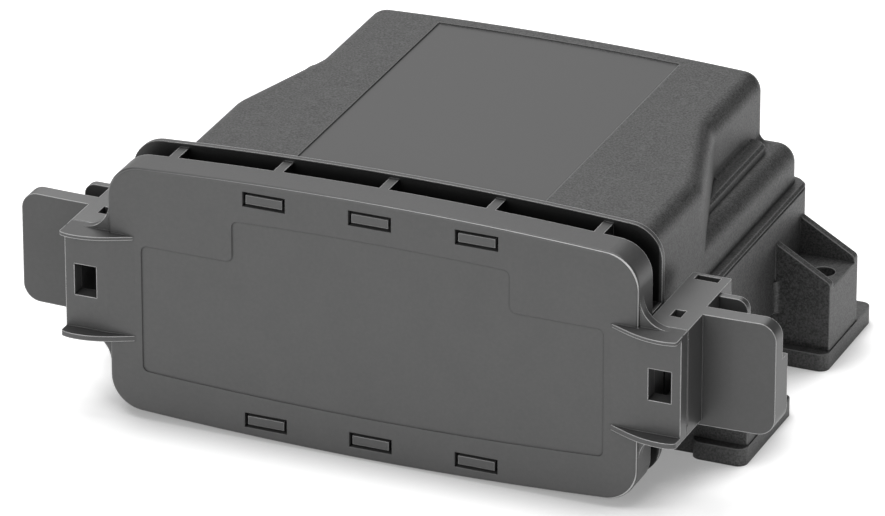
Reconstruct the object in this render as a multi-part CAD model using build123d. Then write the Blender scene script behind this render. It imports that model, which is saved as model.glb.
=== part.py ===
from build123d import *
import os
from math import sqrt

# Injection moulded plastic housing: a hollow body that stands on four screwed-down lugs, closed at the
# front by a plug-in cover that two side levers lock.
# Frame while modelling, in millimetres: X = 0 at the cover's middle, Y = 0 on the cover's front face with
# +Y going back into the body, Z = 0 on the floor. At the end everything moves along Y so that the origin
# is under the middle of the whole part.

# Front cover: outline, plate and rim
cover_width = 170.0
cover_height = 84.6
cover_crown = 1250.0          # radius of the slightly bowed long edges, and of the shell's top
cover_corner = 10.5
least_corner = 1.5            # smallest corner of an outline that is inset from the cover's
cover_plate = 3.0             # thickness of the front plate
cover_wall = 2.5
cover_edge = 1.1              # rounding of the front edge
rim_depth = 10.9              # solid-looking band behind the front face
pocket_width = 7.7            # open pockets between rim and rear flange
pocket_depth = 7.0
pocket_wall = 2.0             # wall between the plate's hollow and the pockets
flange_thick = 1.9
flange_rise = 1.3             # how far the flange stands above the rim at the top
ground_gap = 0.3              # cover to floor

# Slots, ribs and label field of the cover
rib_pitch = 34.0
rib_thick = 3.1
slot_width = 13.7
slot_height = 4.8
slot_in = 6.0                 # slot rows, in from the cover's long edges
label_depth = 0.4
label_side_in = 10.8
label_low_in = 13.7
label_top_in = 13.1
label_shoulder = 15.0         # shoulders above the cover's middle
label_clear = 3.65            # from the outer slots to the label's higher middle
label_corner = 2.0

# Side brackets of the cover
bracket_top = 17.5            # above the cover's middle
bracket_bottom = -16.9
bracket_reach = 13.8          # outward past the cover's side
bracket_proud = 1.0           # its face stands this far in front of the cover's face
bracket_back = 4.0
wing_thick = 1.1               # the upper wing
low_wing_thick = 1.7
wing_start_in = 8.7           # where a wing leaves the cover's face, in from the cover's side
wing_reach = 5.8              # how far a wing stands out in front
wing_crest_in = 6.0           # its foremost point, in from the bracket's side
wing_end = 4.8                # how far it stands out at the bracket's side
wing_round = 1.2
web_radius = 9.0
web_front = 1.0
window_in = 3.6               # window from the cover's side
window_width = 7.2
window_low = -4.5
window_high = 5.7

# Levers
lever_gap = 0.3
strip_gap = 0.3               # strips to the tray's side
strip_thick = 3.2
strip_end = 42.0
strip_wide_end = 18.0
strip_step = 0.8
strip_corner = 0.6
lever_wall = 2.5
bar_thick = 1.3
bar_gap = 0.4                 # lock bar to the catch nose
lock_hole_in = 2.0            # lock hole from the strip's inner edge
lock_hole_width = 7.4
lock_hole_length = 3.0
small_hole_in = 4.6
small_hole_width = 3.4
small_hole_front = 11.4
small_hole_length = 4.8
cheek_wall = 1.7              # the edge turned down along the strip's outer side
cheek_depth = 6.0
paddle_root = 16.0
paddle_reach = 22.7
paddle_sweep = 0.8
paddle_fold = 9.3
paddle_fold_sweep = 0.2
paddle_low = -18.4
paddle_high = 17.5
paddle_corner = 5.5
paddle_depth = 5.5
paddle_wall = 2.4
skirt_back = 26.5             # the paddle's outer edge goes further back below skirt_top
skirt_top = 4.5
ear_front = 31.0
ear_thick = 2.4
ear_reach = 9.2
ear_drop = 0.8                # ear's top below the upper strip's
ear_height = 15.0
ear_round = 3.5

# Body: the upper shell
body_gap = 0.4                # cover flange to body front
shell_wall = 3.0
front_wall = 3.2
ledge_in = 3.3                # ledge, in from the tray's side
ledge_height = 18.0           # above the cover's middle
ledge_edge = 6.0
dome_left_in = 11.6           # the dome's left side stands this far in from the ledge's
dome_draw = 11.5              # how far each side draws in towards the back
bend_front = 60.0
bend_length = 38.0
bend_round = 16.0
shell_back_in = 0.4           # shell's back, in from the tray's
shell_back_round = 6.2
dome_drop = 0.8               # dome's crest below the cover's top edge
dome_edge = 6.0
foot_round = 4.0              # hollow rounding where the dome meets the ledge
step_out = 5.2                # a low step beside the dome's slim part
step_height = 3.2
step_back_in = 11.2
step_round = 4.0
step_edge = 1.0
step_fill = 1.5               # hollow rounding between the step and the dome
seam_height = 4.0             # above the cover's middle
seam_groove = 0.5
lip_thick = 1.5
lip_edge = 0.9
top_label_half = 39.8
top_label_back_in = 9.1
top_label_depth = 0.4

# Body: the tray
tray_proud = 0.4              # tray's side past the cover's side
tray_back = 142.6
tray_corner = 5.5
tray_rise = 4.3               # tray's bottom above the cover's lower edge
chine_rise = 11.0             # where the sloped chine meets the side wall, above the bottom
chine_in = 9.4
chine_round = 3.0
nose_out = 2.2                # catch nose outward from the tray's side
nose_setback = 5.5            # nose's front, before the strips' end
nose_length = 4.2
nose_flat = 1.4
nose_low = -8.0               # below and above the cover's middle
nose_high = 3.0
apron_in = 2.5
mouth_side_in = 19.0          # the way in, in from the cover's edges
mouth_low_in = 9.3
mouth_high_in = 8.3
mouth_corner = 9.0

# Lugs and feet
lug_reach = 17.9
lug_length = 24.0
lug_swing_gap = 1.0           # room for the levers to swing before the front lugs
lug_back_in = 17.8            # rear holes, in from the tray's back
lug_top = 26.2                # above the floor
lug_hole = 7.0
lug_hole_out = 11.4           # hole centre outward from the tray wall
lug_fillet = 2.0
gusset_thick = 2.6
gusset_rise = 12.5
gusset_lip = 2.0              # gusset's height above the lug at its outer end
gusset_round = 1.8
foot_thick = 5.7
foot_in = 1.0                 # foot's inner edge, outward from the tray's side
foot_front = 3.3              # foot past the lug to the front
foot_rear = 13.3
foot_side = 0.4
foot_corner = 3.0

# Seals, carrier and screws
seal_gap = 0.3
seal_thick = 2.3
seal_width = 4.0
seal_setback = 0.6            # seal behind the body's front
skirt_wall = 2.5
skirt_end = 33.0
carrier_plate = 2.4
carrier_gap = 0.3
carrier_lip = 2.0             # ridge that holds the seal on the skirt
arm_overlap = 3.0
tab_gap = 1.0
tab_back = 0.15               # tab ends lie this far behind the cover's face
gasket_in = 1.2
gasket_width = 1.5
gasket_thick = 1.2
screw_head = 7.6              # across the corners of its hexagon
screw_head_height = 2.8
screw_head_clear = 0.8
screw_shank = 3.9
screw_clear = 0.5
thread_clear = 0.1
screw_length = 24.0
screw_post = 12.0
screw_boss = 9.0
screw_seat = 9.0              # head seat below the seam
screw_side_in = 10.0
screw_front = 46.0
screw_rear_in = 12.0

# Values that follow from the sizes above
half_cover = cover_width / 2
half_height = cover_height / 2
middle = ground_gap + half_height
wide = 2 * cover_width        # wider than anything that is cut
pocket_front = rim_depth
pocket_back = rim_depth + pocket_width
cover_back = pocket_back + flange_thick
body_front = cover_back + body_gap
bracket_side = half_cover + bracket_reach
wing_start = half_cover - wing_start_in
tray_half = half_cover + tray_proud
tray_bottom = middle - half_height + tray_rise
seam = middle + seam_height
ledge_half = tray_half - ledge_in
shell_back = tray_back - shell_back_in
shell_top = middle + half_height - dome_drop
dome_right = ledge_half
dome_left = ledge_half - dome_left_in
bend_rear = bend_front + bend_length
mouth_half = half_cover - mouth_side_in
lever_front = bracket_back + lever_gap
strip_inner = tray_half + strip_gap
rear_side = bracket_side - strip_step
bar_front = strip_end - bar_thick
bar_inner = tray_half + nose_out + bar_gap
pivot_x = bracket_side - lever_wall / 2
pivot_y = lever_front + lever_wall / 2
paddle_tip = bracket_side + paddle_reach
lug_rear_hole = tray_back - lug_back_in
lug_front_hole = strip_end + lug_swing_gap + lug_length / 2
hole_x = tray_half + lug_hole_out
foot_back = lug_rear_hole + lug_length / 2 + foot_rear


def slab(face, front, back):
    """A face drawn in X and Z, made solid between two depths."""
    upright = Plane(origin=(0, back, 0), x_dir=(1, 0, 0), z_dir=(0, -1, 0))
    return extrude(upright * face, amount=back - front)


def plate(face, low, high):
    """A face drawn in X and Y, made solid between two heights."""
    return extrude(Pos(0, 0, low) * face, amount=high - low)


def block(x0, x1, y0, y1, z0, z1):
    """A plain block between two corners."""
    return Pos(x0, y0, z0) * Box(x1 - x0, y1 - y0, z1 - z0, align=Align.MIN)


def rounded(x0, x1, z0, z1, radius):
    """A rounded rectangle between two corners."""
    return Pos((x0 + x1) / 2, (z0 + z1) / 2) * RectangleRounded(x1 - x0, z1 - z0, radius)


def polygon(points):
    """A face bounded by straight lines through the points."""
    return make_face(Polyline(*points, close=True))


def corner_fill(x, y, x_way, y_way, radius):
    """A face that fills an inner corner up to a hollow rounding."""
    square = Pos(x + x_way * radius / 2, y + y_way * radius / 2) * Rectangle(radius, radius)
    return square - Pos(x + x_way * radius, y + y_way * radius) * Circle(radius)


def upright_rod(diameter, x, y, low, high):
    """A round rod standing at a place."""
    return Pos(x, y, low) * Cylinder(diameter / 2, high - low, align=(Align.CENTER, Align.CENTER, Align.MIN))


def right_and_left(solid):
    """A solid and its mirror image across the middle plane."""
    return solid + mirror(solid, about=Plane.YZ)


def crown_drop(x):
    """How far the crowned edges and the dome's top fall off at a distance from the middle."""
    return cover_crown - sqrt(cover_crown * cover_crown - x * x)


def bowed_face(half, low, high, corner):
    """A wide face whose long edges bow outward, with rounded corners."""
    drop = crown_drop(half)
    top = ThreePointArc((-half, high - drop), (0, high), (half, high - drop))
    bottom = ThreePointArc((half, low + drop), (0, low), (-half, low + drop))
    right = Line((half, high - drop), (half, low + drop))
    left = Line((-half, low + drop), (-half, high - drop))
    face = make_face([top, right, bottom, left])
    return fillet(face.vertices(), corner)


def cover_face(inset=0.0, rise=0.0):
    """The cover's outline, inset from its edge, with its top edge raised by rise."""
    corner = max(cover_corner - inset, least_corner)
    return bowed_face(half_cover - inset, middle - half_height + inset, middle + half_height - inset + rise,
                      corner)


def label_face():
    """The shallow field on the cover: low shoulders left and right of a higher middle."""
    half = half_cover - label_side_in
    shoulder_half = rib_pitch + slot_width / 2 + label_clear
    shoulder = middle + label_shoulder
    low = middle - half_height + label_low_in
    top = middle + half_height - label_top_in
    low_side = low + crown_drop(half)
    top_side = top - crown_drop(shoulder_half)
    edges = [
        ThreePointArc((-half, low_side), (0, low), (half, low_side)),
        Line((half, low_side), (half, shoulder)),
        Line((half, shoulder), (shoulder_half, shoulder)),
        Line((shoulder_half, shoulder), (shoulder_half, top_side)),
        ThreePointArc((shoulder_half, top_side), (0, top), (-shoulder_half, top_side)),
        Line((-shoulder_half, top_side), (-shoulder_half, shoulder)),
        Line((-shoulder_half, shoulder), (-half, shoulder)),
        Line((-half, shoulder), (-half, low_side)),
    ]
    face = make_face(edges)
    return fillet(face.vertices(), label_corner)


def slot_places():
    """The middles of the snap-in windows, in two rows."""
    row = half_height - slot_in
    return [(x, middle + side * row) for side in (1, -1) for x in (-rib_pitch, 0, rib_pitch)]


def wing_face():
    """A wing seen from above: it swells forward from the cover's face and ends at the bracket's side."""
    crest = (bracket_side - wing_crest_in, -wing_reach)
    end = (bracket_side, -wing_end)
    front = Spline((wing_start, 0), crest, end, tangents=[(1, -0.5), (1, 0.6)])
    face = make_face([front, Line(end, (bracket_side, bracket_back)),
                      Line((bracket_side, bracket_back), (wing_start, bracket_back)),
                      Line((wing_start, bracket_back), (wing_start, 0))])
    return fillet(face.vertices().sort_by_distance((*end, 0))[0], wing_round)


def bracket():
    """The right side bracket: a wall with a window between two wings, run into the cover by webs."""
    low = middle + bracket_bottom
    high = middle + bracket_top
    wall = polygon([(wing_start, 0), (half_cover, -bracket_proud), (bracket_side, -bracket_proud),
                    (bracket_side, bracket_back), (wing_start, bracket_back)])
    part = plate(wall, low, high)
    part += plate(wing_face(), high - wing_thick, high)
    part += plate(wing_face(), low, low + low_wing_thick)
    for edge, way in ((high, 1), (low, -1)):
        part += slab(corner_fill(half_cover, edge, 1, way, web_radius), web_front, bracket_back)
    window_inner = half_cover + window_in
    part -= block(window_inner, window_inner + window_width, -wing_reach, bracket_back + 1,
                  middle + window_low, middle + window_high)
    part += block(half_cover - pocket_depth, half_cover, pocket_front, pocket_back, low, high)
    return part


def make_cover():
    """The front cover: plate, rim, ribbed pockets, rear flange and the two brackets."""
    body = slab(cover_face(), 0, cover_back)
    front_edges = body.faces().sort_by(Axis.Y)[0].edges()
    body = fillet(front_edges, cover_edge)
    body += slab(cover_face(0, flange_rise), pocket_back, cover_back)
    body -= slab(cover_face(-cover_wall) - cover_face(pocket_depth), pocket_front, pocket_back)
    for step in range(-2, 3):
        x = step * rib_pitch
        wall = block(x - rib_thick / 2, x + rib_thick / 2, pocket_front, pocket_back, middle - half_height,
                     middle + half_height)
        body += wall & slab(cover_face(), pocket_front, pocket_back)
    body += right_and_left(bracket())
    inner = pocket_depth + cover_wall
    body -= slab(cover_face(cover_plate), cover_plate, pocket_front - pocket_wall)
    body -= slab(cover_face(inner), cover_plate, cover_back + 1)
    for x, z in slot_places():
        body -= slab(Pos(x, z) * Rectangle(slot_width, slot_height), -1, cover_plate + 1)
    body -= slab(label_face(), -1, label_depth)
    return body


def mouth_face(inset):
    """The body's mouth, inset by a clearance or a wall."""
    return rounded(-mouth_half + inset, mouth_half - inset, middle - half_height + mouth_low_in + inset,
                   middle + half_height - mouth_high_in - inset, mouth_corner - inset)


def make_carrier():
    """The inner frame that snaps into the cover and carries the seal into the mouth."""
    outer = seal_gap + seal_thick
    front = cover_plate + carrier_gap
    back = front + carrier_plate
    lip_front = body_front + seal_setback + seal_width + seal_setback
    frame = slab(cover_face(pocket_depth + cover_wall + carrier_gap), front, back)
    frame += slab(mouth_face(outer), front, skirt_end)
    frame -= slab(mouth_face(outer + skirt_wall), 0, skirt_end + 1)
    lip = slab(mouth_face(seal_gap), lip_front, lip_front + carrier_lip)
    frame += lip - slab(mouth_face(outer + skirt_wall / 2), 0, skirt_end)
    for x, z in slot_places():
        side = 1 if z > middle else -1
        tab_half = slot_width / 2 - tab_gap
        reach = slot_height / 2 - tab_gap
        frame += slab(Pos(x, z) * Rectangle(2 * tab_half, 2 * reach), tab_back, back)
        ends = (middle + side * (half_height - pocket_depth - cover_wall - arm_overlap), z + side * reach)
        frame += block(x - tab_half, x + tab_half, front, back, min(ends), max(ends))
    return frame


def make_cover_seal():
    """The seal ring between skirt and mouth."""
    ring = mouth_face(seal_gap) - mouth_face(seal_gap + seal_thick)
    return slab(ring, body_front + seal_setback, body_front + seal_setback + seal_width)


def swept_plan(tip, back):
    """The paddle seen from above: from the lever's wall, past a slight fold, to its tip."""
    inner = bracket_side - lever_wall
    fold = bracket_side + paddle_fold
    at_fold = paddle_root + paddle_fold_sweep
    at_tip = paddle_root + paddle_sweep
    return polygon([(inner, paddle_root), (bracket_side, paddle_root), (fold, at_fold), (tip, at_tip),
                    (tip, at_tip + back), (fold, at_fold + back), (inner, paddle_root + back)])


def paddle_outline(shrink):
    """The paddle seen from the front, with large corners at its tip."""
    return rounded(bracket_side - paddle_reach, paddle_tip - shrink, middle + paddle_low + shrink,
                   middle + paddle_high - shrink, paddle_corner - shrink)


def lever_paddle():
    """The paddle: a swept plate with a returned edge, open at its back, and a deeper outer edge below."""
    low = middle + paddle_low
    high = middle + paddle_high
    solid = plate(swept_plan(paddle_tip, paddle_depth), low, high) & slab(paddle_outline(0), 0, strip_end)
    hollow = plate(swept_plan(paddle_tip - paddle_wall, paddle_depth), low + paddle_wall, high - paddle_wall)
    hollow = Pos(0, paddle_wall, 0) * hollow & slab(paddle_outline(paddle_wall), 0, strip_end)
    solid -= hollow & block(bracket_side, paddle_tip, 0, strip_end, low, high)
    skirt = slab(paddle_outline(0) - paddle_outline(paddle_wall), paddle_root + paddle_wall, skirt_back)
    skirt &= block(paddle_tip - paddle_corner, paddle_tip, 0, strip_end, low, middle + skirt_top)
    return solid + skirt


def make_lever():
    """The right lever: two strips and a side wall, the lock bar, the paddle and its ear."""
    low = middle + bracket_bottom
    high = middle + bracket_top
    strip_face = polygon([
        (strip_inner, lever_front), (bracket_side, lever_front), (bracket_side, strip_wide_end),
        (rear_side, strip_wide_end), (rear_side, strip_end), (strip_inner, strip_end)])
    strip_face = fillet(strip_face.vertices().group_by(Axis.Y)[-1], strip_corner)
    lever = plate(strip_face, high - strip_thick, high) + plate(strip_face, low, low + strip_thick)
    lock_inner = strip_inner + lock_hole_in
    small_inner = strip_inner + small_hole_in
    lever -= block(lock_inner, lock_inner + lock_hole_width, bar_front - lock_hole_length, bar_front, 0, wide)
    lever -= block(small_inner, small_inner + small_hole_width, small_hole_front,
                   small_hole_front + small_hole_length, 0, wide)
    lever += block(bracket_side - lever_wall, bracket_side, pivot_y, strip_wide_end, low, high)
    lever += upright_rod(lever_wall, pivot_x, pivot_y, low, high)
    for cheek_low in (low, high - cheek_depth):
        lever += block(rear_side - cheek_wall, rear_side, strip_wide_end, strip_end - strip_corner, cheek_low,
                       cheek_low + cheek_depth)
    lever += block(bar_inner, rear_side - strip_corner, bar_front, strip_end, low, high)
    lever += lever_paddle()
    ear_top = high - ear_drop
    ear_face = rounded(rear_side - ear_reach, rear_side + ear_reach, ear_top - ear_height, ear_top, ear_round)
    ear = slab(ear_face, ear_front, ear_front + ear_thick)
    return lever + (ear & block(rear_side - cheek_wall, rear_side + ear_reach, 0, strip_end, low, high))


def dome_outline():
    """The dome seen from above, with sharp corners: wide in front, drawn in towards the back."""
    slim_right = dome_right - dome_draw
    slim_left = dome_left - dome_draw
    return polygon([
        (-dome_left, body_front), (dome_right, body_front), (dome_right, bend_front),
        (slim_right, bend_rear), (slim_right, shell_back), (-slim_left, shell_back),
        (-slim_left, bend_rear), (-dome_left, bend_front)])


def ledge_outline():
    """The lower, full-width part of the upper shell seen from above."""
    return Pos(0, (body_front + shell_back) / 2) * Rectangle(2 * ledge_half, shell_back - body_front)


def under_crown(crest):
    """Everything below a crowned surface whose crest lies at a height."""
    return Pos(0, shell_back, crest - cover_crown) * Rot(90, 0, 0) * Cylinder(cover_crown, 3 * shell_back)


def side_details(front_half):
    """The right side's low step beside the dome's slim part, with hollow roundings at the dome's foot."""
    top = middle + ledge_height
    slim = front_half - dome_draw
    fill = slab(corner_fill(slim, top, 1, 1, foot_round), bend_rear, shell_back - ledge_edge)
    inner = slim - step_out
    step_end = shell_back - step_back_in
    step_face = polygon([(inner, bend_front), (slim + step_out, bend_front), (slim + step_out, step_end),
                         (inner, step_end)])
    step_face = fillet(step_face.vertices().sort_by_distance((slim + step_out, step_end, 0))[0], step_round)
    step = plate(step_face, top - shell_wall / 2, top + step_height)
    rim = [e for e in step.faces().sort_by(Axis.Z)[-1].edges() if e.center().X > inner + 0.1]
    step = chamfer(rim, step_edge)
    step += slab(corner_fill(slim, top + step_height, 1, 1, step_fill), bend_rear, step_end - step_round)
    return step + fill


def shell_form():
    """The upper shell's outer form: crowned dome on a full-width ledge."""
    dome = plate(dome_outline(), seam, shell_top + 1)
    bends = [e for e in dome.edges().filter_by(Axis.Z) if body_front + 1 < e.center().Y < bend_rear + 1]
    dome = fillet(bends, bend_round)
    corners = [e for e in dome.edges().filter_by(Axis.Z) if e.center().Y > shell_back - 1]
    dome = fillet(corners, shell_back_round) & under_crown(shell_top)
    high_edges = [e for e in dome.edges()
                  if e.center().Z > shell_top - dome_edge and e.center().Y > body_front + 1]
    dome = fillet(high_edges, dome_edge)
    top = middle + ledge_height
    ledge = plate(ledge_outline(), seam, top)
    ledge = fillet(ledge.edges().filter_by(Axis.Z).group_by(Axis.Y)[-1], shell_back_round)
    rim = [e for e in ledge.faces().sort_by(Axis.Z)[-1].edges() if e.center().Y > body_front + 1]
    ledge = fillet(rim, ledge_edge)
    return dome + ledge + side_details(dome_right) + mirror(side_details(dome_left), about=Plane.YZ)


def shell_hollow():
    """The upper shell's inside, a wall's thickness within its outer form."""
    dome = plate(offset(dome_outline(), -shell_wall, kind=Kind.INTERSECTION), seam - 1, shell_top)
    dome &= under_crown(shell_top - shell_wall)
    lowest = shell_top - dome_edge - shell_wall
    foremost = body_front + shell_wall + 1
    high_edges = [e for e in dome.edges() if e.center().Z > lowest and e.center().Y > foremost]
    dome = fillet(high_edges, dome_edge - shell_wall)
    ledge = plate(offset(ledge_outline(), -shell_wall, kind=Kind.INTERSECTION), seam - 1,
                  middle + ledge_height - shell_wall)
    return (dome + ledge) & block(-wide, wide, body_front + front_wall, 2 * shell_back, 0, 2 * cover_height)


def rim_plate(half, back, corner, low, high):
    """A plate as wide and deep as the body, with round back corners."""
    face = Pos(0, (body_front + back) / 2) * Rectangle(2 * half, back - body_front)
    return plate(fillet(face.vertices().group_by(Axis.Y)[-1], corner), low, high)


def screw_places():
    """Middles of the screws that hold the tray to the upper shell."""
    rear = shell_back - screw_rear_in
    places = []
    for side, front_half in ((-1, dome_left), (1, dome_right)):
        places.append((side * (front_half - screw_side_in), screw_front))
        places.append((side * (front_half - dome_draw - screw_side_in), rear))
    return places


def mouth_cut():
    """The way in through the body's front wall."""
    return slab(mouth_face(0), body_front - 1, body_front + front_wall + 1)


def make_upper_shell():
    """The upper shell of the body."""
    lip = rim_plate(tray_half, tray_back, tray_corner, seam, seam + lip_thick)
    rim = [e for e in lip.faces().sort_by(Axis.Z)[-1].edges() if e.center().Y > body_front + 1]
    lip = chamfer(rim, lip_edge)
    foot = [e for e in lip.faces().sort_by(Axis.Z)[0].edges() if e.center().Y > body_front + 1]
    lip = chamfer(foot, seam_groove)
    shell = shell_form() + lip - shell_hollow()
    for x, y in screw_places():
        boss_top = shell_top - shell_wall / 2 - crown_drop(abs(x) + screw_boss / 2)
        shell += upright_rod(screw_boss, x, y, seam, boss_top)
        shell -= upright_rod(screw_shank + thread_clear, x, y, seam - 1, seam + screw_length - screw_seat)
    shell -= mouth_cut()
    label_middle = (dome_right - dome_left) / 2
    label = block(label_middle - top_label_half, label_middle + top_label_half, body_front - 1,
                  shell_back - top_label_back_in, middle, 2 * shell_top)
    return shell - (label - under_crown(shell_top - top_label_depth))


def tray_section(shrink):
    """The tray's section: upright sides, sloped chines and a flat bottom."""
    half = tray_half - shrink
    bottom = tray_bottom + shrink
    chine = tray_bottom + chine_rise
    inner = half - chine_in
    top = seam + shrink
    return polygon([(-half, top), (half, top), (half, chine), (inner, bottom), (-inner, bottom),
                    (-half, chine)])


def lug(hole_y):
    """A right-hand lug with its hole, two gussets and the foot it stands on."""
    inner = tray_half - chine_in
    outer = tray_half + lug_reach
    front = hole_y - lug_length / 2
    back = hole_y + lug_length / 2
    body = block(inner, outer, front, back, 0, lug_top)
    into = tray_half - shell_wall / 2
    drop = polygon([(into, lug_top - gusset_lip), (outer, lug_top - gusset_lip), (outer, lug_top + gusset_lip),
                    (tray_half, lug_top + gusset_rise), (into, lug_top + gusset_rise)])
    drop = fillet(drop.vertices().sort_by_distance((outer, lug_top + gusset_lip, 0))[0], gusset_round)
    body += slab(drop, front, front + gusset_thick)
    body += slab(drop, back - gusset_thick, back)
    for y, way in ((front, -1), (back, 1)):
        body += plate(corner_fill(tray_half, y, 1, way, lug_fillet), tray_bottom + chine_rise, lug_top)
    foot = rounded(tray_half + foot_in, outer + foot_side, front - foot_front, back + foot_rear, foot_corner)
    body += plate(foot, 0, foot_thick)
    return body - upright_rod(lug_hole, hole_x, hole_y, -1, lug_top + 1)


def catch_nose():
    """The right-hand wedge that the lever's bar locks behind."""
    front = strip_end - nose_setback
    back = front + nose_length
    root = tray_half - shell_wall / 2
    peak = tray_half + nose_out
    wedge = polygon([(root, front), (tray_half, front), (peak, back - nose_flat), (peak, back), (root, back)])
    return plate(wedge, middle + nose_low, middle + nose_high)


def gasket_ring(low, high):
    """The seam gasket: a band inside the tray's edge."""
    def filled(inset):
        return rim_plate(tray_half - inset, tray_back - inset, tray_corner - inset, low, high)
    return filled(gasket_in) - filled(gasket_in + gasket_width)


def make_tray():
    """The tray: hull, front wall, lugs with feet, gasket groove and screw posts."""
    hull = slab(tray_section(0), body_front, tray_back)
    chines = [e for e in hull.edges().filter_by(Axis.Y) if e.center().Z < seam - 1]
    hull = fillet(chines, chine_round)
    hull = fillet(hull.edges().filter_by(Axis.Z).group_by(Axis.Y)[-1], tray_corner)
    rim = [e for e in hull.faces().sort_by(Axis.Z)[-1].edges() if e.center().Y > body_front + 1]
    hull = chamfer(rim, seam_groove)
    hollow = slab(tray_section(shell_wall), body_front + front_wall, tray_back - shell_wall)
    hull -= hollow
    apron = cover_face(apron_in) & Pos(0, middle / 2) * Rectangle(wide, middle)
    hull += slab(apron, body_front, body_front + front_wall)
    for hole_y in (lug_front_hole, lug_rear_hole):
        hull += right_and_left(lug(hole_y) - hollow)
    hull += right_and_left(catch_nose())
    for x, y in screw_places():
        hull += upright_rod(screw_post, x, y, tray_bottom, seam)
        hull -= upright_rod(screw_head + screw_head_clear, x, y, tray_bottom - 1, seam - screw_seat)
        hull -= upright_rod(screw_shank + screw_clear, x, y, seam - screw_seat - 1, seam + 1)
    hull -= mouth_cut()
    return hull - gasket_ring(seam - gasket_thick, seam + 1)


def make_screws():
    """The screws from below, a group of separate solids."""
    screws = []
    for x, y in screw_places():
        seat = seam - screw_seat
        head = plate(Pos(x, y) * RegularPolygon(screw_head / 2, 6), seat - screw_head_height, seat)
        screws.append(head + upright_rod(screw_shank, x, y, seat, seat + screw_length - screw_seat))
    return Compound(children=screws)


def main():
    """Builds every piece, centres the whole and writes one file for each piece."""
    lever = make_lever()
    parts = {
        "upper_shell": make_upper_shell(),
        "base_tray": make_tray(),
        "base_seal": gasket_ring(seam - gasket_thick, seam),
        "base_screws": make_screws(),
        "front_cover": make_cover(),
        "seal_carrier": make_carrier(),
        "cover_seal": make_cover_seal(),
        "right_lever": lever,
        "left_lever": mirror(lever, about=Plane.YZ),
    }
    shift = Pos(0, (wing_reach - foot_back) / 2, 0)
    os.makedirs("parts", exist_ok=True)
    for name, solid in parts.items():
        export_step(shift * solid, f"parts/{name}.step")
        print(name, "volume", round(solid.volume), "solids", len(solid.solids()))


main()
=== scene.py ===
# %% [markdown]
# A moulded plastic equipment housing stands on four lugs. Its solid parts are made already, at their real
# size, so this lesson brings them in and dresses them. Most of them get the skin that a steel mould gives.
# Nothing is moved or resized: every part arrives in its place, in metres, with +Z up.

import bmesh
import bpy
from math import pi
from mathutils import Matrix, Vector


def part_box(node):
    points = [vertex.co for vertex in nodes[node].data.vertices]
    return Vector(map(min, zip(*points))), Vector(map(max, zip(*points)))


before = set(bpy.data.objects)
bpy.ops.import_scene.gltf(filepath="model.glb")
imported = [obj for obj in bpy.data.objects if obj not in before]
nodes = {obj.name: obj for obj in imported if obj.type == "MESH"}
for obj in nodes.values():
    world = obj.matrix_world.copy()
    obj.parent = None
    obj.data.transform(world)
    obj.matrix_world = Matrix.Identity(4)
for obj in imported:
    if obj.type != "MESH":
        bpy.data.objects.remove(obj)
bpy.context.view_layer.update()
MM = 0.001
print("parts:", ", ".join(sorted(nodes)))

# %% [markdown]
# The photograph was taken with a long lens, so far lines hardly draw together. The camera stands about
# 2.4 m away, a little right of the cover and well above it. The place and the lens come from lining up the
# cover's outline, its windows and its ribs with the picture, so the place is measured from the cover's
# front face. The wings of the cover reach in front of that face, so their reach is taken off its box.

# %% The camera
wing_reach = 5.8 * MM
cover_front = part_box("front_cover")[0][1] + wing_reach
camera_place = Vector((830.6, -1913.7, 1047.4)) * MM + Vector((0, cover_front, 0))
camera_aim = Vector((-0.3518, 0.8339, -0.4253))
lens_pixels = 7848.0
picture_width = 885.0
sensor = 36.0
far_limit = 20.0

camera = bpy.data.objects.new("camera", bpy.data.cameras.new("camera"))
bpy.context.scene.collection.objects.link(camera)
camera.location = camera_place
camera.rotation_euler = camera_aim.to_track_quat("-Z", "Y").to_euler()
camera.data.sensor_width = sensor
camera.data.lens = sensor * lens_pixels / picture_width
camera.data.clip_end = far_limit
bpy.context.scene.camera = camera
print("lens in mm:", round(camera.data.lens, 1))

# %% [markdown]
# A finish is a small tree of nodes. One helper adds a node, sets it up and links its inputs, and one turns
# a colour as a paint chart gives it into the linear numbers that light is worked out with.

# %% Helpers for finishes


def add(tree, kind, inputs=None, **settings):
    """Adds a node with its settings, and gives each named or numbered input a value or a link."""
    node = tree.nodes.new(kind)
    for name, value in settings.items():
        setattr(node, name, value)
    for name, value in (inputs or {}).items():
        if isinstance(value, bpy.types.NodeSocket):
            tree.links.new(value, node.inputs[name])
        else:
            node.inputs[name].default_value = value
    return node


def linear(chart_colour):
    """A colour written as #rrggbb, as linear numbers with an alpha of 1."""
    parts = [int(chart_colour[i:i + 2], 16) / 255 for i in (1, 3, 5)]
    return [p / 12.92 if p <= 0.04045 else ((p + 0.055) / 1.055) ** 2.4 for p in parts] + [1.0]


def new_finish(name):
    """An empty material with a surface shader, and its node tree."""
    material = bpy.data.materials.new(name)
    material.use_nodes = True
    tree = material.node_tree
    tree.nodes.clear()
    shader = add(tree, "ShaderNodeBsdfPrincipled")
    add(tree, "ShaderNodeOutputMaterial", {"Surface": shader.outputs["BSDF"]})
    return material, tree, shader


def wear(node_names, material):
    """Gives parts a material in place of the one they came with."""
    for name in node_names:
        nodes[name].data.materials.clear()
        nodes[name].data.materials.append(material)
    print(material.name, "on", ", ".join(node_names))


# %% [markdown]
# All the dark parts are PBT, a hard polyester. The carbon black in it makes it a neutral dark grey, and its
# skin is whatever the steel mould was: pebbled where the mould was eroded with sparks, satin where it was
# stoned smooth. So the finishes share a few building blocks: a noise of a given size, a tone between two
# colours, and sums and products of such values.

# %% Tones and noises


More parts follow.
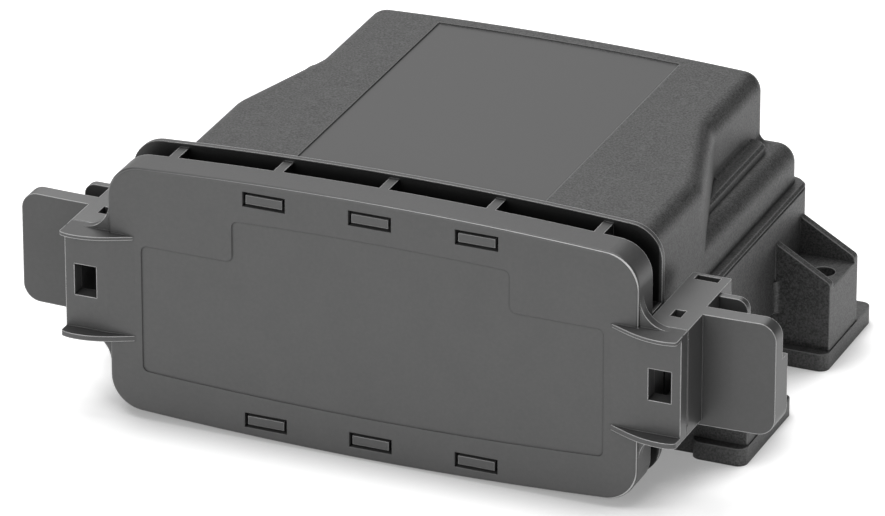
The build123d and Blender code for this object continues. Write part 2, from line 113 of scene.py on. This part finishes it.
def noise_of_size(tree, size, detail=2.0, roughness=0.5):
    """A noise whose lumps are about as wide as size."""
    place = add(tree, "ShaderNodeTexCoord").outputs["Object"]
    return add(tree, "ShaderNodeTexNoise",
               {"Vector": place, "Scale": 1 / size, "Detail": detail, "Roughness": roughness}).outputs["Fac"]


def blend_of(tree, factor, low, high):
    """A colour between two, by a factor from 0 to 1. Each is a chart colour or a link."""
    mix = add(tree, "ShaderNodeMix", {0: factor}, data_type="RGBA")
    for socket, colour in ((mix.inputs[6], low), (mix.inputs[7], high)):
        if isinstance(colour, str):
            socket.default_value = linear(colour)
        else:
            tree.links.new(colour, socket)
    return mix.outputs[2]


def between(tree, value, low, high, to_low=0.0, to_high=1.0):
    """A value spread from one range to another, held at the ends."""
    return add(tree, "ShaderNodeMapRange",
               {"Value": value, "From Min": low, "From Max": high,
                "To Min": to_low, "To Max": to_high}).outputs["Result"]


def maths(tree, operation, *values):
    """One step of arithmetic on links and numbers."""
    return add(tree, "ShaderNodeMath", dict(enumerate(values)), operation=operation).outputs["Value"]


def shared(tree, first, second, first_share):
    """Two values added up, the first with its share and the second with the rest."""
    return maths(tree, "ADD", maths(tree, "MULTIPLY", first, first_share),
                 maths(tree, "MULTIPLY", second, 1 - first_share))


# %% [markdown]
# Every moulded edge is a little round and catches a thin line of light. The round is too small for the mesh,
# so a bevel in the shading draws it. Where that bevel turns an open edge away from its true direction, a
# painted highlight lightens the skin. Deep pockets and inner corners get painted shade and keep the darkest
# skin. How open a place lies is measured by rays that it sends out over a short reach.

# %% Edges, corners and places
edge_round = 0.5 * MM
# edge_turn and edge_open shape the painted highlight along open edges.
edge_turn = (0.998, 0.86)
edge_open = (0.75, 0.95)
# corner_open shapes the painted shade in inner corners.
corner_open = (0.55, 0.95)


def openness(tree, reach, samples=6):
    """How open the surface lies within a reach, from 0 deep in a corner to 1 on a free face."""
    return add(tree, "ShaderNodeAmbientOcclusion", {"Distance": reach}, samples=samples).outputs["AO"]


def true_direction(tree):
    """The direction that the surface itself faces."""
    return add(tree, "ShaderNodeNewGeometry").outputs["Normal"]


def round_edge(tree, radius=edge_round):
    """The direction of the surface with its edges rounded, and how much painted highlight an outer edge
    gets, from 0 to 1.
    """
    turned = add(tree, "ShaderNodeBevel", {"Radius": radius}, samples=8).outputs["Normal"]
    same = add(tree, "ShaderNodeVectorMath", {0: turned, 1: true_direction(tree)}, operation="DOT_PRODUCT")
    free = between(tree, openness(tree, 2 * radius), *edge_open)
    return turned, maths(tree, "MULTIPLY", between(tree, same.outputs["Value"], *edge_turn), free)


def painted_corner_shade(tree, skin, shade_colour, corner_reach, corner_dark):
    """Paints shade into a skin in a fine line along inner corners, where corner_dark of it is left."""
    corner = between(tree, openness(tree, corner_reach), *corner_open, corner_dark, 1.0)
    return blend_of(tree, corner, shade_colour, skin)


def axes_of(tree):
    """The place on the part along X, Y and Z, in metres."""
    place = add(tree, "ShaderNodeTexCoord").outputs["Object"]
    return add(tree, "ShaderNodeSeparateXYZ", {0: place}).outputs


def inside(tree, bounds):
    """1 inside a box given as ((low, high) or None for X, Y and Z) in metres, and 0 outside."""
    axes = axes_of(tree)
    found = 1.0
    for axis, limits in zip("XYZ", bounds):
        if limits:
            centre = (limits[0] + limits[1]) / 2
            near = maths(tree, "COMPARE", axes[axis], centre, (limits[1] - limits[0]) / 2)
            found = maths(tree, "MULTIPLY", found, near)
    return found


# %% [markdown]
# The body comes from a spark-eroded mould. The sparks leave thousands of tiny craters in the steel, and the
# plastic comes out with a fine, matt, pebbled skin. The real pebbles are a quarter of a millimetre wide,
# too fine for the picture, so they are drawn about two dots wide: a noise of that size drives the bump and
# lifts the tone of the pebbles' tops, where the skin is rubbed. A coarser noise gathers them in faint
# patches. The field for a label on top is polished steel in the mould, so there the pebbles are left out.

# %% Pebbled skin
pbt_ior = 1.57
pebble = 0.62 * MM
pebble_depth = 0.08 * MM
pebble_share = 0.9
pebble_tones = (0.38, 0.62)
patch = 5.0 * MM
pebbled_round = 0.8 * MM
# How strongly open edges of the pebbled skin get a painted highlight.
pebbled_highlight = 0.6
# The reach and strength of painted shade in the pebbled skin's inner corners.
pebbled_corner = 0.9 * MM
pebbled_corner_dark = 0.25
field_left = 0.04
field_smoother = 0.08
top_field = ((-34.0 * MM, 45.6 * MM), (-60.0 * MM, 59.9 * MM), (76.0 * MM, 90.0 * MM))


def pebbled_pbt(name, dark, light, highlight_colour, roughness=0.5, smooth_field=None, field_tone=None):
    """Matt moulded PBT with pebbles from spark erosion, and with a smooth field if one is given."""
    material, tree, shader = new_finish(name)
    grain = noise_of_size(tree, pebble, detail=3.0, roughness=0.7)
    patches = noise_of_size(tree, patch, detail=2.0)
    mixed = shared(tree, grain, patches, pebble_share)
    skin = blend_of(tree, between(tree, mixed, *pebble_tones), dark, light)
    normal, edge = round_edge(tree, pebbled_round)
    # Painted highlight: open edges are lightened towards the highlight colour.
    skin = blend_of(tree, maths(tree, "MULTIPLY", edge, pebbled_highlight), skin, highlight_colour)
    bump = add(tree, "ShaderNodeBump", {"Height": grain, "Distance": pebble_depth, "Normal": normal})
    shader.inputs["Roughness"].default_value = roughness
    if smooth_field:
        field = inside(tree, smooth_field)
        skin = blend_of(tree, field, skin, field_tone)
        tree.links.new(between(tree, field, 0.0, 1.0, 1.0, field_left), bump.inputs["Strength"])
        tree.links.new(between(tree, field, 0.0, 1.0, roughness, roughness - field_smoother),
                       shader.inputs["Roughness"])
    # Painted shade: inner corners are darkened to near black.
    skin = painted_corner_shade(tree, skin, "#0c0c0c", pebbled_corner, pebbled_corner_dark)
    tree.links.new(skin, shader.inputs["Base Color"])
    tree.links.new(bump.outputs["Normal"], shader.inputs["Normal"])
    shader.inputs["IOR"].default_value = pbt_ior
    return material


# The third colour of each is the painted highlight on open edges.
wear(["upper_shell"], pebbled_pbt("pbt_spark_eroded", "#1e1e1e", "#555555", "#a0a0a0",
                                  smooth_field=top_field, field_tone="#444444"))
wear(["base_tray"], pebbled_pbt("pbt_spark_eroded_tray", "#1e1e1e", "#555555", "#a0a0a0"))

# %% [markdown]
# The cover's front face meets its sides in a small round, which gets a painted highlight: a thin light line,
# little at its left end and more at its right. A bevel in the shading can't find that round, because it is
# in the mesh. So the line is found by its place: it is a strip along the rim of the cover's outline, a
# rectangle with bowed long edges and round corners. Elsewhere the face is plain: its windows and the
# shallow step of the label field get no painted edge highlight.

# %% The rim of the cover
cover_half = 85.0 * MM
cover_half_height = 42.3 * MM
cover_middle = 42.6 * MM
cover_bow = 1250.0 * MM
cover_corner = 10.5 * MM
# The painted highlight on the rim is a strip rim_line wide, fading from left to right as rim_fade gives.
rim_line = 0.42 * MM
rim_fade = (-70.0 * MM, 70.0 * MM, 0.12, 0.9)
before = cover_front - 0.2 * MM
behind = cover_front + 0.7 * MM
beside = cover_half + 0.05 * MM
cover_plane = (None, (before, behind), None)
cover_rim = ((-beside, beside), (before, cover_front + rim_line), None)


def in_outline(tree, margin):
    """1 well inside the cover's bowed outline, and 0 in a strip as wide as margin along its rim."""
    axes = axes_of(tree)
    bow = maths(tree, "DIVIDE", maths(tree, "MULTIPLY", axes["X"], axes["X"]), 2 * cover_bow)
    height = maths(tree, "ABSOLUTE", maths(tree, "SUBTRACT", axes["Z"], cover_middle))
    up = maths(tree, "SUBTRACT", maths(tree, "ADD", height, bow), cover_half_height - cover_corner)
    across = maths(tree, "SUBTRACT", maths(tree, "ABSOLUTE", axes["X"]), cover_half - cover_corner)
    corner = add(tree, "ShaderNodeCombineXYZ", {0: maths(tree, "MAXIMUM", across, 0.0),
                                                1: maths(tree, "MAXIMUM", up, 0.0)}).outputs[0]
    reach = add(tree, "ShaderNodeVectorMath", {0: corner}, operation="LENGTH").outputs["Value"]
    return maths(tree, "LESS_THAN", reach, cover_corner - margin)


def rim_highlight(tree):
    """How much painted highlight the middle of the cover's round edge gets: little at its left end, more at
    its right.
    """
    outside = maths(tree, "SUBTRACT", 1.0, in_outline(tree, rim_line))
    strip = maths(tree, "MULTIPLY", inside(tree, cover_rim), outside)
    return maths(tree, "MULTIPLY", strip, between(tree, axes_of(tree)["X"], *rim_fade))


print("the cover's front face lies at Y in mm:", round(cover_front / MM, 1))

# %% [markdown]
# The cover, its carrier and the levers come from a finer mould, stoned smooth. Their skin is satin, with a
# very faint cloudiness where the melt ran together, and open edges get a painted highlight and are glossier.
# Behind the cover's front plate runs a band of open pockets. They are narrow, and painted shade makes the
# skin down in them almost black. On the levers, painted light makes the faces that look up a little lighter.

# %% Satin skin
cloud = 14.0 * MM
cloud_share = 0.5
cloud_tones = (0.3, 0.7)
cloud_gloss = 0.04
speck = 1.1 * MM
fine_grain = 0.6 * MM
fine_depth = 0.012 * MM
# How strongly open edges of the satin skin get a painted highlight, and how much glossier they are.
satin_highlight = 0.95
edge_gloss = 0.14
# The reach and strength of painted shade in the satin skin's inner corners.
satin_corner = 0.8 * MM
satin_corner_dark = 0.15
# How much painted light lightens the faces that look up, and which faces count as looking up.
upward_light = 0.14
looks_up = (0.9, 0.98)
# Where the cover's pockets get painted shade: how deep they must lie, and the box that holds them.
pocket_reach = 16.0 * MM
pocket_open = (0.85, 0.68)
pocket_half = 84.0 * MM
pockets_from = cover_front + 10.5 * MM
pockets_to = cover_front + 18.7 * MM
cover_pockets = ((-pocket_half, pocket_half), (pockets_from, pockets_to), None)


def satin_pbt(name, dark, light, highlight_colour, roughness, is_cover=False, top_light=0.0):
    """Smooth satin PBT. The cover has painted shade in its pockets and a painted highlight along its rim,
    and painted light lightens upward faces by a given share.
    """
    material, tree, shader = new_finish(name)
    clouds = noise_of_size(tree, cloud, detail=3.0)
    specks = noise_of_size(tree, speck, detail=3.0)
    mixed = shared(tree, clouds, specks, cloud_share)
    skin = blend_of(tree, between(tree, mixed, *cloud_tones), dark, light)
    if top_light:
        # Painted light: faces that look up are lightened a little towards the highlight colour.
        up = add(tree, "ShaderNodeSeparateXYZ", {0: true_direction(tree)}).outputs["Z"]
        skin = blend_of(tree, maths(tree, "MULTIPLY", between(tree, up, *looks_up), top_light), skin, highlight_colour)
    normal, edge = round_edge(tree)
    if is_cover:
        # Painted highlight on the cover: none on its plain front face, and a thin line along its rim.
        off_face = maths(tree, "SUBTRACT", 1.0, inside(tree, cover_plane))
        edge = maths(tree, "MAXIMUM", maths(tree, "MULTIPLY", edge, off_face), rim_highlight(tree))
    # Painted highlight: open edges are lightened towards the highlight colour.
    skin = blend_of(tree, maths(tree, "MULTIPLY", edge, satin_highlight), skin, highlight_colour)
    # Painted shade along inner corners.
    skin = painted_corner_shade(tree, skin, "#060606", satin_corner, satin_corner_dark)
    if is_cover:
        # Painted shade: the pockets behind the front plate darken to almost black.
        depth = between(tree, openness(tree, pocket_reach), *pocket_open)
        skin = blend_of(tree, maths(tree, "MULTIPLY", depth, inside(tree, cover_pockets)), skin, "#080808")
    tree.links.new(skin, shader.inputs["Base Color"])
    gloss = between(tree, clouds, 0.0, 1.0, roughness - cloud_gloss, roughness + cloud_gloss)
    gloss = maths(tree, "SUBTRACT", gloss, maths(tree, "MULTIPLY", edge, edge_gloss))
    tree.links.new(gloss, shader.inputs["Roughness"])
    fine = noise_of_size(tree, fine_grain, detail=2.0)
    bump = add(tree, "ShaderNodeBump", {"Height": fine, "Distance": fine_depth, "Normal": normal})
    tree.links.new(bump.outputs["Normal"], shader.inputs["Normal"])
    shader.inputs["IOR"].default_value = pbt_ior
    return material


# The third colour is the painted highlight on open edges; on the levers it is also the painted light on
# upward faces.
wear(["front_cover"], satin_pbt("pbt_satin_cover", "#464646", "#4e4e4e", "#dddddd", 0.42, is_cover=True))
wear(["seal_carrier"], satin_pbt("pbt_satin_carrier", "#444444", "#4c4c4c", "#8c8c8c", 0.45))
wear(["right_lever", "left_lever"],
     satin_pbt("pbt_satin_lever", "#3e3e3e", "#464646", "#dddddd", 0.42, top_light=upward_light))

# %% [markdown]
# Inside are a silicone ring, a flat gasket and zinc-plated screws. They hardly show, but the levers open
# and the cover slides out, so they get a finish of their own: the silicone is soft, dull and a little dusty,
# and the zinc is a pale metal with cloudy reflections.

# %% Silicone and zinc
dust_size = 3.0 * MM
silicone_roughness = 0.7
silicone_ior = 1.41
spangle = 1.2 * MM
zinc_roughness = 0.32


def silicone_rubber():
    """Dark silicone: soft, dull and a little dusty."""
    material, tree, shader = new_finish("silicone_rubber")
    dust = noise_of_size(tree, dust_size, detail=4.0)
    tree.links.new(blend_of(tree, dust, "#2b2c2e", "#3a3b3d"), shader.inputs["Base Color"])
    shader.inputs["Roughness"].default_value = silicone_roughness
    shader.inputs["IOR"].default_value = silicone_ior
    return material


def zinc_plate():
    """Zinc-plated steel: a pale metal with cloudy reflections."""
    material, tree, shader = new_finish("zinc_plated_steel")
    clouds = noise_of_size(tree, spangle, detail=3.0)
    tree.links.new(blend_of(tree, clouds, "#a4a7aa", "#c2c5c7"), shader.inputs["Base Color"])
    shader.inputs["Metallic"].default_value = 1.0
    shader.inputs["Roughness"].default_value = zinc_roughness
    return material


wear(["base_seal", "cover_seal"], silicone_rubber())
wear(["base_screws"], zinc_plate())

# %% [markdown]
# The object stands on a white sheet that runs on without an edge. The sheet is plain matt white, and it
# answers the camera and glossy reflections with extra light of its own, so that it is pure white away from
# the shadows. Close to the object, in its lee, the extra light fades and the sheet darkens, as a sheet does
# where an object keeps the room's light from it.

# %% White sheet
sheet_half = 6.0
sheet_glow = 0.60
lee_reach = 26.0 * MM
lee_open = (0.45, 0.85)
lee_least = 0.42
sheet_roughness = 0.9
sheet_gloss = 0.1

shape = bmesh.new()
bmesh.ops.create_grid(shape, x_segments=1, y_segments=1, size=sheet_half)
mesh = bpy.data.meshes.new("sheet")
shape.to_mesh(mesh)
shape.free()
floor = bpy.data.objects.new("floor", mesh)
bpy.context.scene.collection.objects.link(floor)

white, white_tree, white_shader = new_finish("white_sheet")
lee = between(white_tree, openness(white_tree, lee_reach, samples=16), *lee_open, lee_least, 1.0)
white_tree.links.new(blend_of(white_tree, lee, "#8a8a8a", "#f4f4f4"), white_shader.inputs["Base Color"])
white_shader.inputs["Roughness"].default_value = sheet_roughness
white_shader.inputs["Specular IOR Level"].default_value = sheet_gloss
ray = add(white_tree, "ShaderNodeLightPath").outputs
seen = maths(white_tree, "MAXIMUM", ray["Is Camera Ray"], ray["Is Glossy Ray"])
glow = maths(white_tree, "MULTIPLY", maths(white_tree, "MULTIPLY", seen, lee), sheet_glow)
white_shader.inputs["Emission Color"].default_value = linear("#ffffff")
white_tree.links.new(glow, white_shader.inputs["Emission Strength"])
mesh.materials.append(white)
print("sheet in m:", [round(2 * max(v.co[i] for v in mesh.vertices), 2) for i in (0, 1)])

# %% [markdown]
# Round the sheet is a dim white room. The camera sees it pure white, so no edge shows behind the sheet, but
# it lights the object only a little.

# %% Room
ambient = 0.07

bpy.context.scene.view_settings.view_transform = "Standard"
room = bpy.data.worlds.new("studio")
bpy.context.scene.world = room
room.use_nodes = True
room_tree = room.node_tree
room_tree.nodes.clear()
looked_at = add(room_tree, "ShaderNodeLightPath").outputs["Is Camera Ray"]
level = between(room_tree, looked_at, 0.0, 1.0, ambient, 1.0)
sky = add(room_tree, "ShaderNodeBackground", {"Color": linear("#ffffff"), "Strength": level})
add(room_tree, "ShaderNodeOutputWorld", {"Surface": sky.outputs["Background"]})
print("room light:", ambient)

# %% [markdown]
# A dark plastic part shows its form by what it mirrors. A large soft box hangs overhead, and one of half its
# strength fills from the front. A wide, dim panel stands behind on the left, where the upward faces mirror
# it at a flat angle. Behind on the right it is dark, so the rounded shoulders of the body go dark between
# its top and its side, and the side mirrors the white sheet. Two small boxes, one at the front on the right
# and one high in front, put the bright lines on the rounded edges. Each box's power is worked out from the
# brightness that it gives a white card facing it.

# %% Lights
lit_point = Vector((0.0, 0.0, 0.04))


def softbox(name, place, size, card_brightness):
    """A square soft box that looks at the object. A white card facing it there shows card_brightness."""
    light = bpy.data.lights.new(name, "AREA")
    light.shape = "SQUARE"
    light.size = size
    away = (Vector(place) - lit_point).length
    light.energy = card_brightness * pi * pi * away * away
    lamp = bpy.data.objects.new(name, light)
    lamp.location = place
    lamp.rotation_euler = (lit_point - Vector(place)).to_track_quat("-Z", "Y").to_euler()
    bpy.context.scene.collection.objects.link(lamp)
    print(name, "power in W:", round(light.energy, 1))


softbox("box_above", (-0.1, 0.45, 1.7), 1.3, 0.68)
softbox("panel_behind", (-0.85, 1.7, 0.95), 1.5, 0.15)
softbox("box_front", (-0.6, -2.1, 0.8), 1.3, 0.355)
softbox("box_corner", (1.1, -1.25, 0.95), 0.4, 0.14)
softbox("box_edges", (-0.6, -0.85, 1.7), 0.45, 0.1)
